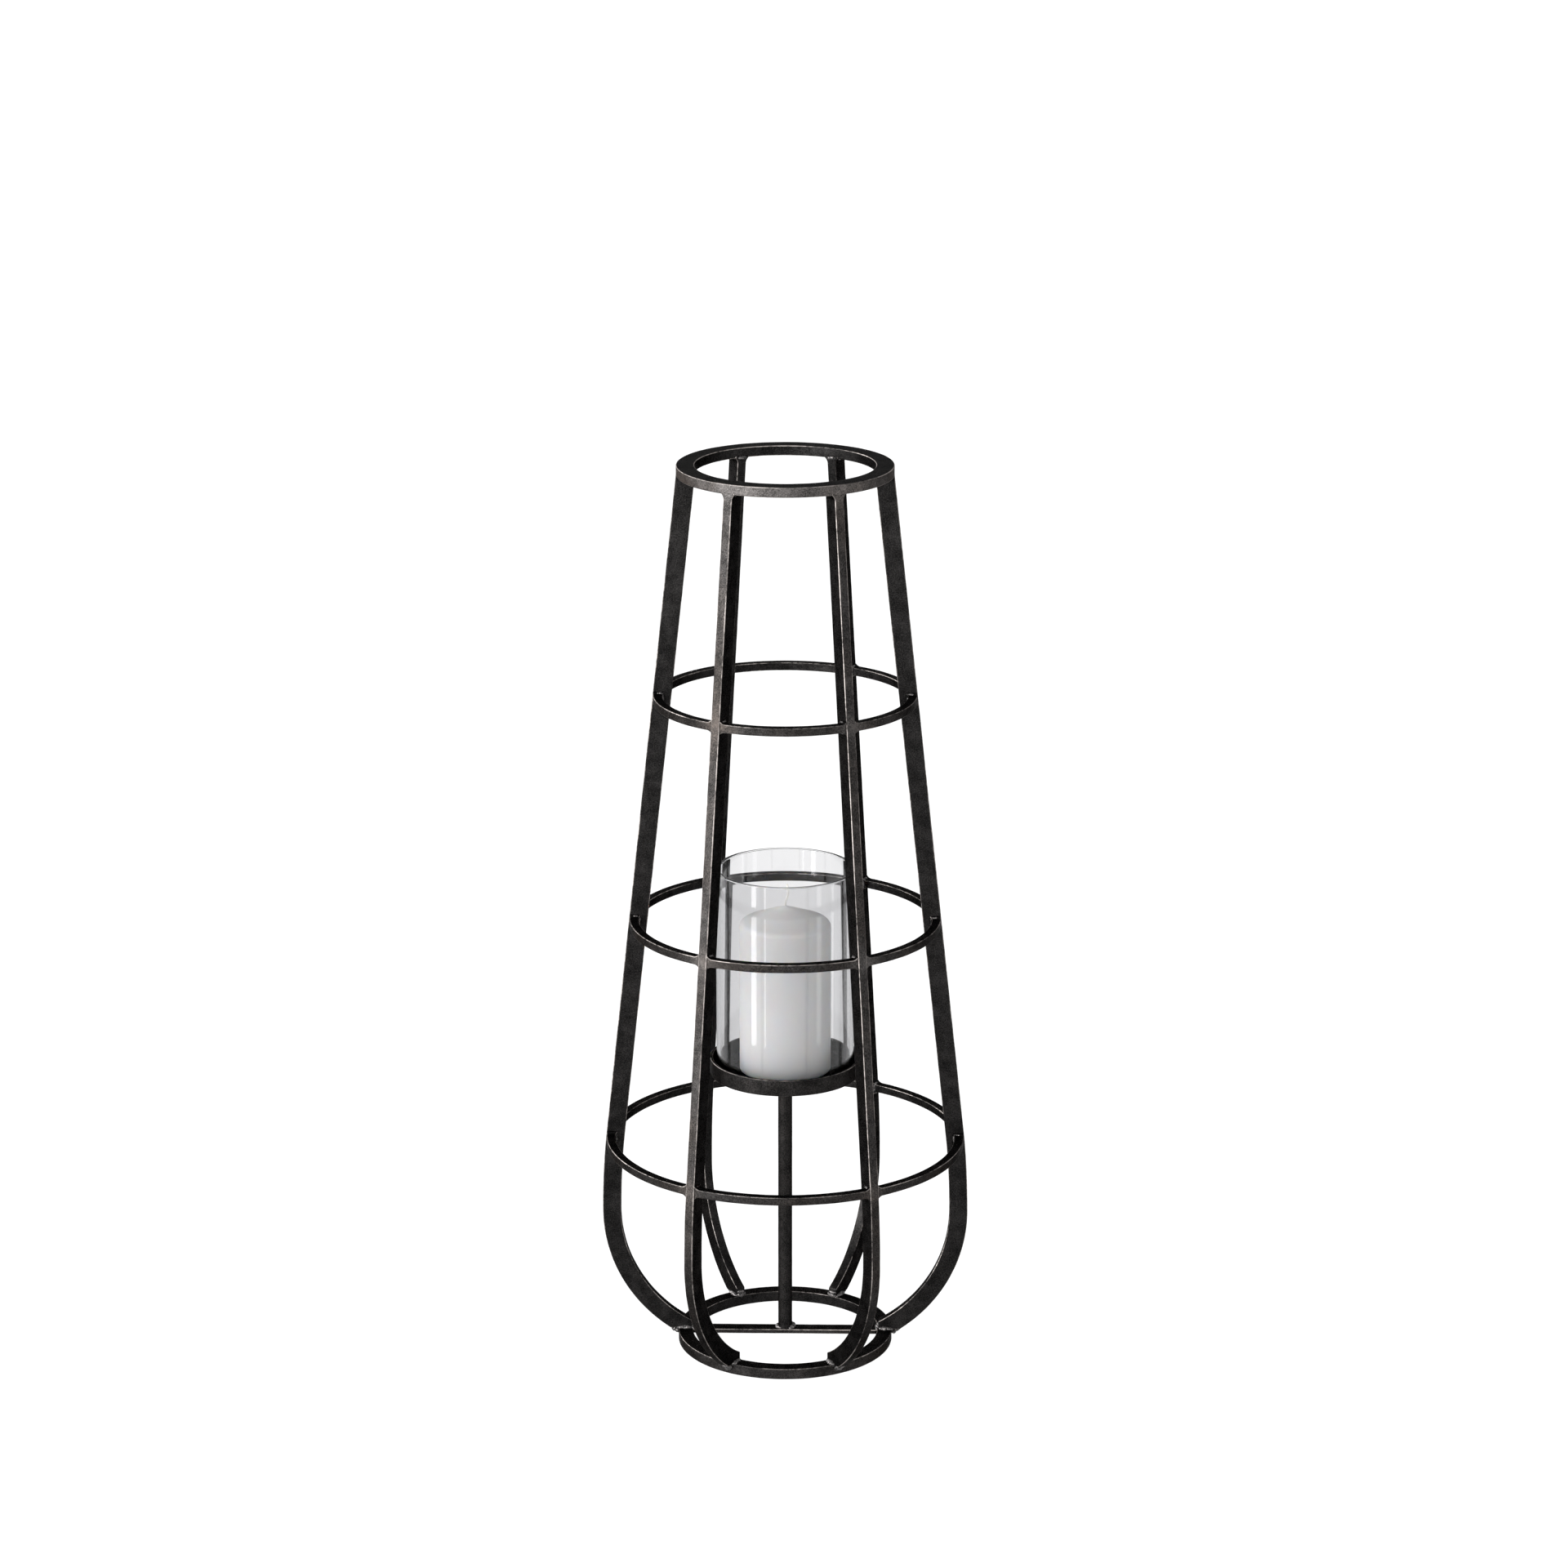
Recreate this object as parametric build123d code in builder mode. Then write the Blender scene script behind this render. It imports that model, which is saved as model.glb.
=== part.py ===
from build123d import *
import math
import os

# Pillar candle holder. A tapered cage of six flat steel ribs, welded to a top ring, three levels
# of hoop bars and a base ring. A round rod on a cross bar carries a shallow dish, and a glass
# cylinder and a pillar candle stand loose in the dish.
#
# Frame: millimetres, +Z up, origin on the floor under the middle of the base ring. The first
# rib lies along +X, and the cross bar lies along X.

# ---- driving dimensions -------------------------------------------------------------------

overall_height = 760.0

rib_count = 6
rib_width = 15.5                # across the flat bar, in the rib's radial plane
rib_thickness = 8.0
rib_top_radius = 88.5           # outer edge of a rib where it meets the top ring
rib_belly_radius = 154.2        # outer edge at the widest point
rib_belly_height = 116.0        # height of the widest point
rib_shoulder_arc = 660.0        # long easy curve from the straight part to the widest point
rib_foot_arc = 129.0            # tight curve from the widest point down to the base ring
rib_toe_radius = 80.0           # the foot is cut off square this far from the axis

top_ring_radius = 88.5
top_ring_width = 15.0
top_ring_thickness = 8.5

base_ring_radius = 90.8
base_ring_width = 12.2
base_ring_thickness = 9.4

hoop_spacing = 191.6            # from the top ring's top face to each hoop level in turn
hoop_bar_width = 7.5
hoop_bar_height = 7.0
hoop_inset = 0.5                # hoops stand this far inside the ribs' outer edges

cross_bar_width = 12.0
cross_bar_thickness = 4.0

rod_radius = 6.0

dish_underside = 240.5
dish_radius = 63.0
dish_plate_thickness = 3.0
dish_rim_thickness = 2.5
dish_rim_height = 14.0

glass_radius = 57.5
glass_wall = 3.0
glass_height = 176.0
glass_edge_rounding = 1.2       # fire-polished rims

candle_radius = 38.3
candle_shoulder_height = 128.8  # side and dome would meet here if the corner were sharp
candle_apex_height = 143.6
candle_shoulder_rounding = 5.5
candle_base_rounding = 2.5

wick_radius = 1.0
wick_bend_radius = 16.0
wick_bend_angle = 22.0
wick_tip_length = 2.5

# ---- heights and angles that follow from them -----------------------------------------------

rib_pitch = 360.0 / rib_count
rib_top = overall_height - top_ring_thickness
base_ring_top = base_ring_thickness
dish_floor = dish_underside + dish_plate_thickness
dish_bore = dish_radius - dish_rim_thickness
belly_drop = rib_top - rib_belly_height

# The straight part of a rib is tangent to the shoulder arc, whose centre is level with the
# belly. rib_lean is its angle from the vertical.
shoulder_centre_radius = rib_belly_radius - rib_shoulder_arc
tangent_reach = math.hypot(rib_top_radius - shoulder_centre_radius, belly_drop)
rib_lean = math.degrees(
    math.atan2(belly_drop, rib_top_radius - shoulder_centre_radius)
    - math.acos(rib_shoulder_arc / tangent_reach)
)
straight_end = (
    shoulder_centre_radius + rib_shoulder_arc * math.cos(math.radians(rib_lean)),
    rib_belly_height + rib_shoulder_arc * math.sin(math.radians(rib_lean)),
)


def rib_outer_radius(height):
    """Distance from the axis to the straight part of a rib's outer edge, at a height."""
    return rib_top_radius + (rib_top - height) * math.tan(math.radians(rib_lean))


def radial_plane(azimuth):
    """Upright plane through the axis: local x points outwards, local y points up."""
    angle = math.radians(azimuth)
    outwards = (math.cos(angle), math.sin(angle), 0)
    sideways = (math.sin(angle), -math.cos(angle), 0)
    return Plane(origin=(0, 0, 0), x_dir=outwards, z_dir=sideways)


def write(part, name):
    """Label a finished piece and write it as its own STEP file."""
    part.label = name
    export_step(part, f"parts/{name}.step")


# ---- the cage ---------------------------------------------------------------------------------


def flat_ring(radius, width, thickness, bottom):
    with BuildPart() as ring:
        with BuildSketch(Plane.XY.offset(bottom)):
            Circle(radius)
            Circle(radius - width, mode=Mode.SUBTRACT)
        extrude(amount=thickness)
    return ring.part


def cage_rib(azimuth):
    """One rib: a flat bar on edge, straight, then bellied, then swept in to its foot."""
    with BuildPart() as rib:
        with BuildSketch(radial_plane(azimuth)):
            with BuildLine():
                straight = Line((rib_top_radius, rib_top), straight_end)
                shoulder = JernArc(straight @ 1, straight % 1, rib_shoulder_arc, -rib_lean)
                JernArc(shoulder @ 1, shoulder % 1, rib_foot_arc, -90)
                offset(amount=rib_width, side=Side.RIGHT, closed=True)
            make_face()
            with Locations((0, base_ring_top)):
                Rectangle(
                    2 * rib_belly_radius, rib_top - base_ring_top,
                    align=(Align.MIN, Align.MIN), mode=Mode.INTERSECT,
                )
                Rectangle(
                    rib_toe_radius, rib_belly_height,
                    align=(Align.MIN, Align.MIN), mode=Mode.SUBTRACT,
                )
        extrude(amount=rib_thickness / 2, both=True)
    return rib.part


def hoop_bar(level, azimuth):
    """One curved bar between two neighbouring ribs, cut to lie flat on both ribs' sides."""
    top = overall_height - level * hoop_spacing
    bottom = top - hoop_bar_height
    radius = rib_outer_radius(top - hoop_bar_height / 2) - hoop_inset
    half_pitch = math.radians(rib_pitch / 2)
    wedge_tip = rib_thickness / 2 / math.sin(half_pitch)
    far_x = wedge_tip + 2 * radius * math.cos(half_pitch)
    far_y = 2 * radius * math.sin(half_pitch)
    with BuildPart() as bar:
        with BuildSketch(Plane.XY.offset(bottom).rotated((0, 0, azimuth))):
            Circle(radius)
            Circle(radius - hoop_bar_width, mode=Mode.SUBTRACT)
            with BuildLine():
                Polyline((wedge_tip, 0), (far_x, -far_y), (far_x, far_y), close=True)
            make_face(mode=Mode.INTERSECT)
        extrude(amount=hoop_bar_height)
    return bar.part


def cross_bar():
    """Flat bar across the base ring, its top face level with the ring's."""
    with BuildPart() as bar:
        with BuildSketch(Plane.XY.offset(base_ring_top - cross_bar_thickness)):
            Circle(base_ring_radius - base_ring_width)
            Rectangle(2 * base_ring_radius, cross_bar_width, mode=Mode.INTERSECT)
        extrude(amount=cross_bar_thickness)
    return bar.part


# ---- the dish on its rod ----------------------------------------------------------------------


def round_bar(radius, bottom, top):
    with BuildPart() as bar:
        with BuildSketch(Plane.XY.offset(bottom)):
            Circle(radius)
        extrude(amount=top - bottom)
    return bar.part


# ---- glass, candle and wick ---------------------------------------------------------------------


def glass_cylinder():
    """Open tube of clear glass with rounded rims."""
    with BuildPart() as glass:
        with BuildSketch(Plane.XY.offset(dish_floor)):
            Circle(glass_radius)
            Circle(glass_radius - glass_wall, mode=Mode.SUBTRACT)
        extrude(amount=glass_height)
        fillet(glass.edges().filter_by(GeomType.CIRCLE), glass_edge_rounding)
    return glass.part


def pillar_candle():
    """Pillar of wax with a softly pointed top, bored for the wick."""
    base = dish_floor
    with BuildPart() as candle:
        with BuildSketch(Plane.XZ):
            with BuildLine():
                outside = FilletPolyline(
                    (wick_radius, base),
                    (candle_radius, base),
                    (candle_radius, base + candle_shoulder_height),
                    (wick_radius, base + candle_apex_height),
                    radius=(candle_base_rounding, candle_shoulder_rounding),
                )
                Line(outside @ 1, outside @ 0)
            make_face()
        revolve(axis=Axis.Z)
    return candle.part


def candle_wick():
    """Round wick: straight inside the wax, then two slight bends and a short straight tip."""
    start = (0, dish_floor)
    with BuildPart() as wick:
        with BuildLine(Plane.XZ):
            buried = Line(start, (0, dish_floor + candle_apex_height))
            lean = JernArc(buried @ 1, buried % 1, wick_bend_radius, -wick_bend_angle)
            back = JernArc(lean @ 1, lean % 1, wick_bend_radius, 1.5 * wick_bend_angle)
            Line(back @ 1, back @ 1 + wick_tip_length * (back % 1))
        with BuildSketch(Plane.XY.offset(dish_floor)):
            Circle(wick_radius)
        sweep()
    return wick.part


# ---- make every piece -----------------------------------------------------------------------------

os.makedirs("parts", exist_ok=True)

write(flat_ring(top_ring_radius, top_ring_width, top_ring_thickness, rib_top), "top_ring")
write(flat_ring(base_ring_radius, base_ring_width, base_ring_thickness, 0), "base_ring")

for index in range(rib_count):
    write(cage_rib(index * rib_pitch), f"rib_{index + 1}")

for level, level_name in enumerate(("upper", "middle", "lower"), start=1):
    for index in range(rib_count):
        bar = hoop_bar(level, (index + 0.5) * rib_pitch)
        write(bar, f"{level_name}_hoop_bar_{index + 1}")

write(cross_bar(), "cross_bar")
write(round_bar(rod_radius, base_ring_top, dish_underside), "centre_rod")
write(round_bar(dish_bore, dish_underside, dish_floor), "dish_plate")
write(flat_ring(dish_radius, dish_rim_thickness, dish_rim_height, dish_underside), "dish_rim")
write(glass_cylinder(), "glass_cylinder")
write(pillar_candle(), "pillar_candle")
write(candle_wick(), "candle_wick")
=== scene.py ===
import math

import bpy
import numpy as np
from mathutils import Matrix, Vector, noise


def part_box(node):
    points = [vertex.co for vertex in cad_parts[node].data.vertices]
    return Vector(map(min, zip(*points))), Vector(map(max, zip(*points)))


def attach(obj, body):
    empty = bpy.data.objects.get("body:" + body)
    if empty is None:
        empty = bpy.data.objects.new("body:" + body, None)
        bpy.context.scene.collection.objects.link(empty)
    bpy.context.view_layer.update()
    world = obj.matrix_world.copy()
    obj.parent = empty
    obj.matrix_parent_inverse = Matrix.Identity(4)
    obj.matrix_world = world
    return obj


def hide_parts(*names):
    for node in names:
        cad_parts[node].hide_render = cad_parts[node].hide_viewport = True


# Pillar candle holder: a cage of blackened steel bars around a dish, a glass cylinder and a
# candle. Metres, +Z up, the same frame as the CAD model. Each bar is rebuilt here with worn,
# rounded edges, and the weld beads that join the bars are added.

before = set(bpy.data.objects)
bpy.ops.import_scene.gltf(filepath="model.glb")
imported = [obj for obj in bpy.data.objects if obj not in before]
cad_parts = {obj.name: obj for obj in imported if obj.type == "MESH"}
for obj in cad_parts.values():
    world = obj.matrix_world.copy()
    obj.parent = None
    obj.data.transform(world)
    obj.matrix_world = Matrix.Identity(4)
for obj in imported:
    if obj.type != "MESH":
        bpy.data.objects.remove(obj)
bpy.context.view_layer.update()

MM = 0.001
RIB_COUNT = 6
LEVELS = ("upper", "middle", "lower")

# Each piece that has dents has its own seed. The ribs and the hoop bars count on from theirs.
TOP_RING_SEED = 1
BASE_RING_SEED = 2
RIB_SEED = 10
HOOP_SEED = 20
CROSS_BAR_SEED = 50
ROD_SEED = 51
RIM_SEED = 53
CANDLE_SEED = 60

# ---- sizes -------------------------------------------------------------------------------------


def node_size(node):
    """Outer radius, bottom and top of a round node."""
    low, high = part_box(node)
    return high.x, low.z, high.z


top_radius, top_bottom, top_top = node_size("top_ring")
base_radius, _, base_top = node_size("base_ring")
rod_radius, rod_bottom, rod_top = node_size("centre_rod")
dish_radius, dish_bottom, rim_top = node_size("dish_rim")
dish_bore, _, dish_floor = node_size("dish_plate")
glass_radius, glass_bottom, glass_top = node_size("glass_cylinder")
candle_radius, candle_bottom, candle_apex = node_size("pillar_candle")
wick_radius = -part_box("candle_wick")[0].x
rib_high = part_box("rib_1")[1]
bar_low, bar_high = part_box("cross_bar")

belly_radius = rib_high.x
rib_half_thickness = rib_high.y
rib_top_radius = top_radius

# The CAD model's dimensions that the box of a node doesn't give.
toe_radius = 80.0 * MM
rib_width = 15.5 * MM
belly_height = 116.0 * MM
shoulder_arc = 660.0 * MM
foot_arc = 129.0 * MM
top_ring_width = 15.0 * MM
base_ring_width = 12.2 * MM
hoop_width = 7.5 * MM
hoop_inset = 0.5 * MM
glass_wall = 3.0 * MM
candle_shoulder = candle_bottom + 128.8 * MM
candle_shoulder_rounding = 5.5 * MM
candle_base_rounding = 2.5 * MM


# ---- small helpers ------------------------------------------------------------------------------


def polar(radius, azimuth, height):
    return np.array([radius * math.cos(azimuth), radius * math.sin(azimuth), height])


def outwards(azimuth):
    return np.array([math.cos(azimuth), math.sin(azimuth), 0.0])


def sideways(azimuth):
    return np.array([-math.sin(azimuth), math.cos(azimuth), 0.0])


UP = np.array([0.0, 0.0, 1.0])


def make_object(name, points, faces, material, **attributes):
    """A smooth-shaded mesh object. Each attribute holds one number for each point."""
    mesh = bpy.data.meshes.new(name)
    mesh.from_pydata([tuple(p) for p in points], [], faces)
    mesh.validate()
    mesh.polygons.foreach_set("use_smooth", [True] * len(mesh.polygons))
    for attribute, values in attributes.items():
        layer = mesh.attributes.new(attribute, "FLOAT", "POINT")
        layer.data.foreach_set("value", np.asarray(values, np.float32))
    mesh.materials.append(material)
    mesh.update()
    made = bpy.data.objects.new(name, mesh)
    bpy.context.scene.collection.objects.link(made)
    return made


def dress(piece, body, slot, *nodes):
    """Put a finished piece on its body, and let it stand for its CAD nodes."""
    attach(piece, body)
    if nodes:
        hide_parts(*nodes)
    return piece


def grid_faces(rows, columns, closed_rows, closed_columns):
    """Quads over a grid of points, wound to face outwards on the bars and the turned pieces."""
    faces = []
    for i in range(rows if closed_rows else rows - 1):
        for j in range(columns if closed_columns else columns - 1):
            a, b = i * columns + j, i * columns + (j + 1) % columns
            c, d = ((i + 1) % rows) * columns + (j + 1) % columns, ((i + 1) % rows) * columns + j
            faces.append((a, b, c, d))
    return faces


# ---- bars with worn edges ------------------------------------------------------------------------

EDGE_STEPS = 4
EDGE_ROUNDING = 0.72 * MM
THIN_ROUNDING = 0.7 * MM        # on the cross bar and the dish's rim
EDGE_BAND = 0.6 * MM            # how far rubbing reaches in from a rounded edge
FACE_STEP = 3.0 * MM            # spacing of points across a flat face
STATION_STEP = 2.5 * MM         # spacing of sections along a bar
FACE_DENTS = 0.16 * MM          # depth of the shallow dents in the bars' faces
BROAD_DENTS = 30                # how close together the dents lie, in cycles per metre
SMALL_DENTS = 120
WEAR_SEED = 31                  # added to a bar's seed for the noise that varies its edge wear
END_BEVEL = 0.9 * MM            # bevel round a cut end


def face_count(flat):
    """How many steps a flat face is divided into, between its two edge bands."""
    return max(1, round((flat - 2 * EDGE_BAND) / FACE_STEP))


def bar_section(width, thickness, rounding, counts):
    """Rounded rectangle round a bar: (across, through, edge wear, face polish) for each point.

    across runs from 0 at the outer edge to width at the inner one, through from minus to plus
    half the thickness. counts are the divisions of the faces across and through. Only the
    outer face is polished."""
    half = thickness / 2
    corners = [(0, -half, 1, 1), (width, -half, -1, 1), (width, half, -1, -1), (0, half, 1, -1)]
    directions = [(1, 0), (0, 1), (-1, 0), (0, -1)]
    section = []
    for k, ((x, y, sx, sy), direction) in enumerate(zip(corners, directions)):
        cx, cy = x + sx * rounding, y + sy * rounding
        start = math.pi * (1 + k / 2)
        for step in range(EDGE_STEPS + 1):
            share = step / EDGE_STEPS
            angle = start + share * math.pi / 2
            wear = 0.25 + 0.75 * math.sin(share * math.pi)
            polish = {0: 1.0 - share, 3: share}.get(k, 0.0)
            edge_x, edge_y = cx + rounding * math.cos(angle), cy + rounding * math.sin(angle)
            section.append((edge_x, edge_y, wear, polish))
        flat = (width if k % 2 == 0 else thickness) - 2 * rounding
        band = min(EDGE_BAND, flat / 4)
        count = counts[k % 2]
        x, y, _, _ = section[-1]
        for step in range(count + 1):
            distance = band + (flat - 2 * band) * step / count
            face_x, face_y = x + direction[0] * distance, y + direction[1] * distance
            section.append((face_x, face_y, 0.0, float(k == 3)))
    return section


def dents(point, seed):
    """Shallow unevenness of a rolled and hammered face, from 0 to 1."""
    p = Vector(point)
    broad = noise.noise(p * BROAD_DENTS + Vector((seed, 0, 0)))
    small = noise.noise(p * SMALL_DENTS + Vector((0, seed, 0)))
    return min(1.0, max(0.0, 0.5 + 0.4 * broad + 0.45 * small))


def swept_bar(name, outer, inner, through, material, seed, rounding=EDGE_ROUNDING, polish=1.0,
              edges=1.0, closed=False):
    """A bar between two edge curves. outer and inner hold a point for each station, and
    through half the thickness there as a vector. polish is how far its outer face is rubbed,
    as one number or one for each station, and edges how bright its edges are worn."""
    points, wear, polished = [], [], []
    polish = np.broadcast_to(polish, len(outer))
    counts = (
        face_count(np.linalg.norm(inner[0] - outer[0]) - 2 * rounding),
        face_count(2 * np.linalg.norm(through[0]) - 2 * rounding),
    )
    for o, i, t, station_polish in zip(outer, inner, through, polish):
        across = i - o
        width, half = np.linalg.norm(across), np.linalg.norm(t)
        a_unit, t_unit = across / width, t / half
        section = bar_section(width, 2 * half, min(rounding, width / 3), counts)
        for a, b, edge_wear, face_polish in section:
            p = o + a_unit * a + t_unit * b
            pull_a = np.clip(a, rounding, width - rounding) - a
            pull_b = np.clip(b, rounding - half, half - rounding) - b
            depth = math.hypot(pull_a, pull_b)
            if depth > 0:
                p = p + (a_unit * pull_a + t_unit * pull_b) / depth * FACE_DENTS * dents(p, seed)
            points.append(p)
            wear.append(edges * edge_wear * (0.6 + 0.8 * dents(p, seed + WEAR_SEED)))
            polished.append(face_polish * station_polish)
    rows, columns = len(outer), len(points) // len(outer)
    faces = grid_faces(rows, columns, closed, True)
    if not closed:
        for row, neighbour in ((0, 1), (rows - 1, rows - 2)):
            ring = np.array(points[row * columns:(row + 1) * columns])
            beside = np.array(points[neighbour * columns:(neighbour + 1) * columns])
            middle = ring.mean(axis=0)
            along = middle - beside.mean(axis=0)
            along /= np.linalg.norm(along)
            spokes = ring - middle
            inset = ring - spokes * END_BEVEL / np.linalg.norm(spokes, axis=1)[:, None]
            first = len(points)
            points += list(inset + along * END_BEVEL / 2)
            wear += [0.0] * columns
            polished += [0.0] * columns
            band = [(row * columns + j, row * columns + (j + 1) % columns,
                     first + (j + 1) % columns, first + j) for j in range(columns)]
            cap = tuple(range(first, first + columns))
            if row == 0:
                faces += [tuple(reversed(quad)) for quad in band]
                cap = tuple(reversed(cap))
            else:
                faces += band
            faces.append(cap)
    return make_object(name, points, faces, material, wear=wear, polish=polished)


def arc_azimuths(first, last, radius):
    count = max(8, round(abs(last - first) * radius / STATION_STEP))
    return np.linspace(first, last, count)


def ring_stations(radius, width, bottom, top):
    """Edge curves of a full level ring."""
    azimuths = arc_azimuths(0, 2 * math.pi, radius)[:-1]
    middle = (bottom + top) / 2
    outer = [polar(radius, a, middle) for a in azimuths]
    inner = [polar(radius - width, a, middle) for a in azimuths]
    return outer, inner, [UP * (top - bottom) / 2] * len(azimuths)


FLARE_LENGTH = 5.0 * MM         # bar ends swell into smooth ground-down welds
FLARE_HEIGHT = 2.2 * MM
JOINT_REACH = 9.0 * MM          # how far the grinding at a joint spreads along the bars


def flare(distance):
    """How far a bar swells at a distance from its end."""
    return FLARE_HEIGHT * max(0.0, 1 - max(0.0, distance) / FLARE_LENGTH) ** 2.5


def ground(distance):
    """How strongly a bar is ground bright at a distance from a joint, from 0 to 1."""
    return math.exp(-(distance / JOINT_REACH) ** 2)


def hoop_stations(radius, width, bottom, top, first, last):
    """Edge curves of a hoop bar, swelling where it meets the ribs."""
    fine = np.linspace(0, FLARE_LENGTH / radius, 7)[:-1]
    body = arc_azimuths(first + FLARE_LENGTH / radius, last - FLARE_LENGTH / radius, radius)
    azimuths = [*(first + fine), *body, *(last - fine[::-1])]
    middle = (bottom + top) / 2
    outer, inner, through = [], [], []
    for a in azimuths:
        swell = flare(min(a - first, last - a) * radius)
        outer.append(polar(radius, a, middle))
        inner.append(polar(radius - width - swell, a, middle))
        through.append(UP * ((top - bottom) / 2 + swell))
    return outer, inner, through


# ---- rib outline, in its radial plane ------------------------------------------------------------

RIB_LET_IN = 1.5 * MM           # a rib's top end reaches this far into the top ring
INNER_HEEL = 0.93               # share of the outer edge's foot arc that the inner edge follows it

shoulder_centre = belly_radius - shoulder_arc
belly_drop = top_bottom - belly_height
reach = math.hypot(rib_top_radius - shoulder_centre, belly_drop)
rib_lean = math.atan2(belly_drop, rib_top_radius - shoulder_centre) - math.acos(shoulder_arc / reach)
straight_bottom = belly_height + shoulder_arc * math.sin(rib_lean)


def rib_edge(height, inset):
    """Distance from the axis to a rib's edge at a height; inset is 0 outside, rib_width inside."""
    shoulder_radius, foot_radius = shoulder_arc - inset, foot_arc - inset
    if height >= belly_height + shoulder_radius * math.sin(rib_lean):
        outer = rib_top_radius + (top_bottom - height) * math.tan(rib_lean)
        return outer - inset / math.cos(rib_lean)
    if height >= belly_height:
        return shoulder_centre + math.sqrt(shoulder_radius ** 2 - (height - belly_height) ** 2)
    return belly_radius - foot_arc + math.sqrt(foot_radius ** 2 - (belly_height - height) ** 2)


def rib_stations(azimuth):
    """Edge curves of a rib from the top ring to its foot, cut level and square at the toe."""
    def turned(radius, height):
        return outwards(azimuth) * radius + UP * height

    outer, inner = [], []
    straight_top = top_bottom - FLARE_LENGTH
    straight_count = round((straight_top - straight_bottom) / STATION_STEP)
    flared = np.linspace(top_bottom + RIB_LET_IN, straight_top, 10, endpoint=False)
    straight = np.linspace(straight_top, straight_bottom, straight_count, endpoint=False)
    for height in [*flared, *straight]:
        outer.append(turned(rib_edge(height, 0), height))
        inner.append(turned(rib_edge(height, rib_width), height))
    shoulder_count = round(shoulder_arc * rib_lean / STATION_STEP)
    for angle in np.linspace(rib_lean, 0, shoulder_count, endpoint=False):
        across, up = math.cos(angle), math.sin(angle)
        for chain, radius in ((outer, shoulder_arc), (inner, shoulder_arc - rib_width)):
            chain.append(turned(shoulder_centre + radius * across, belly_height + radius * up))
    foot_centre = belly_radius - foot_arc
    inner_arc = foot_arc - rib_width
    heel = math.asin((belly_height - base_top) / foot_arc)
    inner_heel = heel * INNER_HEEL
    toe = math.acos((toe_radius - foot_centre) / inner_arc)

    def on_foot(radius, angle):
        return turned(foot_centre + radius * math.cos(angle), belly_height - radius * math.sin(angle))

    foot_count = round(foot_arc * heel / STATION_STEP)
    for share in np.linspace(0, 1, foot_count, endpoint=False):
        outer.append(on_foot(foot_arc, heel * share))
        inner.append(on_foot(inner_arc, inner_heel * share))
    heel_radius = foot_centre + foot_arc * math.cos(heel)
    for share in np.linspace(0, 1, 6):
        outer.append(turned(heel_radius + (toe_radius - heel_radius) * share, base_top))
        inner.append(on_foot(inner_arc, inner_heel + (toe - inner_heel) * share))
    through = [sideways(azimuth) * (rib_half_thickness + flare(top_bottom - o[2])) for o in outer]
    return outer, inner, through


# ---- materials -----------------------------------------------------------------------------------


class Nodes:
    """Short hand for building a material's node tree."""

    def __init__(self, name):
        self.material = bpy.data.materials.new(name)
        self.material.use_nodes = True
        self.tree = self.material.node_tree
        self.shader = self.tree.nodes["Principled BSDF"]

    def add(self, kind, **settings):
        node = self.tree.nodes.new(kind)
        for key, value in settings.items():
            setattr(node, key, value)
        return node

    def link(self, output, target):
        self.tree.links.new(output, target)

    def noise(self, scale, detail=4.0, roughness=0.55, distortion=0.0):
        """Noise over the object's own coordinates. scale is in cycles per metre."""
        if not hasattr(self, "coordinates"):
            self.coordinates = self.add("ShaderNodeTexCoord").outputs["Object"]
        node = self.add("ShaderNodeTexNoise")
        self.link(self.coordinates, node.inputs["Vector"])
        node.inputs["Scale"].default_value = scale
        node.inputs["Detail"].default_value = detail
        node.inputs["Roughness"].default_value = roughness
        node.inputs["Distortion"].default_value = distortion
        return node.outputs["Fac"]

    def remap(self, value, low, high, to_low=0.0, to_high=1.0):
        node = self.add("ShaderNodeMapRange")
        self.link(value, node.inputs["Value"])
        node.inputs["From Min"].default_value = low
        node.inputs["From Max"].default_value = high
        node.inputs["To Min"].default_value = to_low
        node.inputs["To Max"].default_value = to_high
        return node.outputs["Result"]

    def math(self, operation, a, b):
        node = self.add("ShaderNodeMath", operation=operation)
        for value, socket in ((a, node.inputs[0]), (b, node.inputs[1])):
            if isinstance(value, (int, float)):
                socket.default_value = value
            else:
                self.link(value, socket)
        return node.outputs[0]

    def mix(self, factor, a, b):
        node = self.add("ShaderNodeMix", data_type="RGBA")
        self.link(factor, node.inputs["Factor"])
        for value, socket in ((a, node.inputs["A"]), (b, node.inputs["B"])):
            if isinstance(value, tuple):
                socket.default_value = (*value, 1.0)
            else:
                self.link(value, socket)
        return node.outputs["Result"]

    def bump(self, height, strength, distance, below=None):
        node = self.add("ShaderNodeBump")
        self.link(height, node.inputs["Height"])
        node.inputs["Strength"].default_value = strength
        node.inputs["Distance"].default_value = distance
        if below is not None:
            self.link(below, node.inputs["Normal"])
        return node.outputs["Normal"]

    def set(self, **sockets):
        """Set or link sockets of the main shader; spaces in names are written as _."""
        for key, value in sockets.items():
            socket = self.shader.inputs[key.replace("_", " ")]
            if isinstance(value, (int, float)):
                socket.default_value = value
            elif isinstance(value, tuple):
                socket.default_value = (*value, 1.0) if socket.type == "RGBA" else value
            else:
                self.link(value, socket)


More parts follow.
